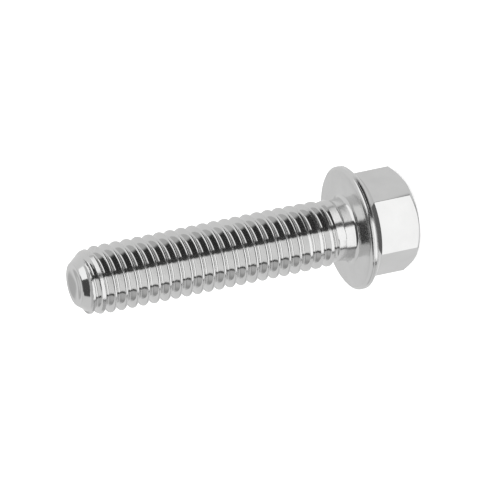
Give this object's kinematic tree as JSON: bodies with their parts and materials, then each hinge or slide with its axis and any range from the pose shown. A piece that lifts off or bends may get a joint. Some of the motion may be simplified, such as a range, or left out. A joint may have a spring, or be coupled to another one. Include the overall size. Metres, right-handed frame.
{
  "type": "flange bolt",
  "caption": "Hexagon head bolt with an integral round flange, a fully threaded shank and a chamfered tip.",
  "frame": {"origin": "centre of the bearing face under the flange, on the bolt's axis", "axes": "+Z along the shank from the head to the tip; two corners of the hexagon on the X axis. The bolt stands on the flat top of its head"},
  "size_m": [0.0106, 0.0106, 0.0303],
  "materials": {
    "polished_steel": "bright polished, with fine turning marks"
  },
  "bodies": {
    "root": {"flange_bolt": "polished_steel"}
  },
  "joints": []
}
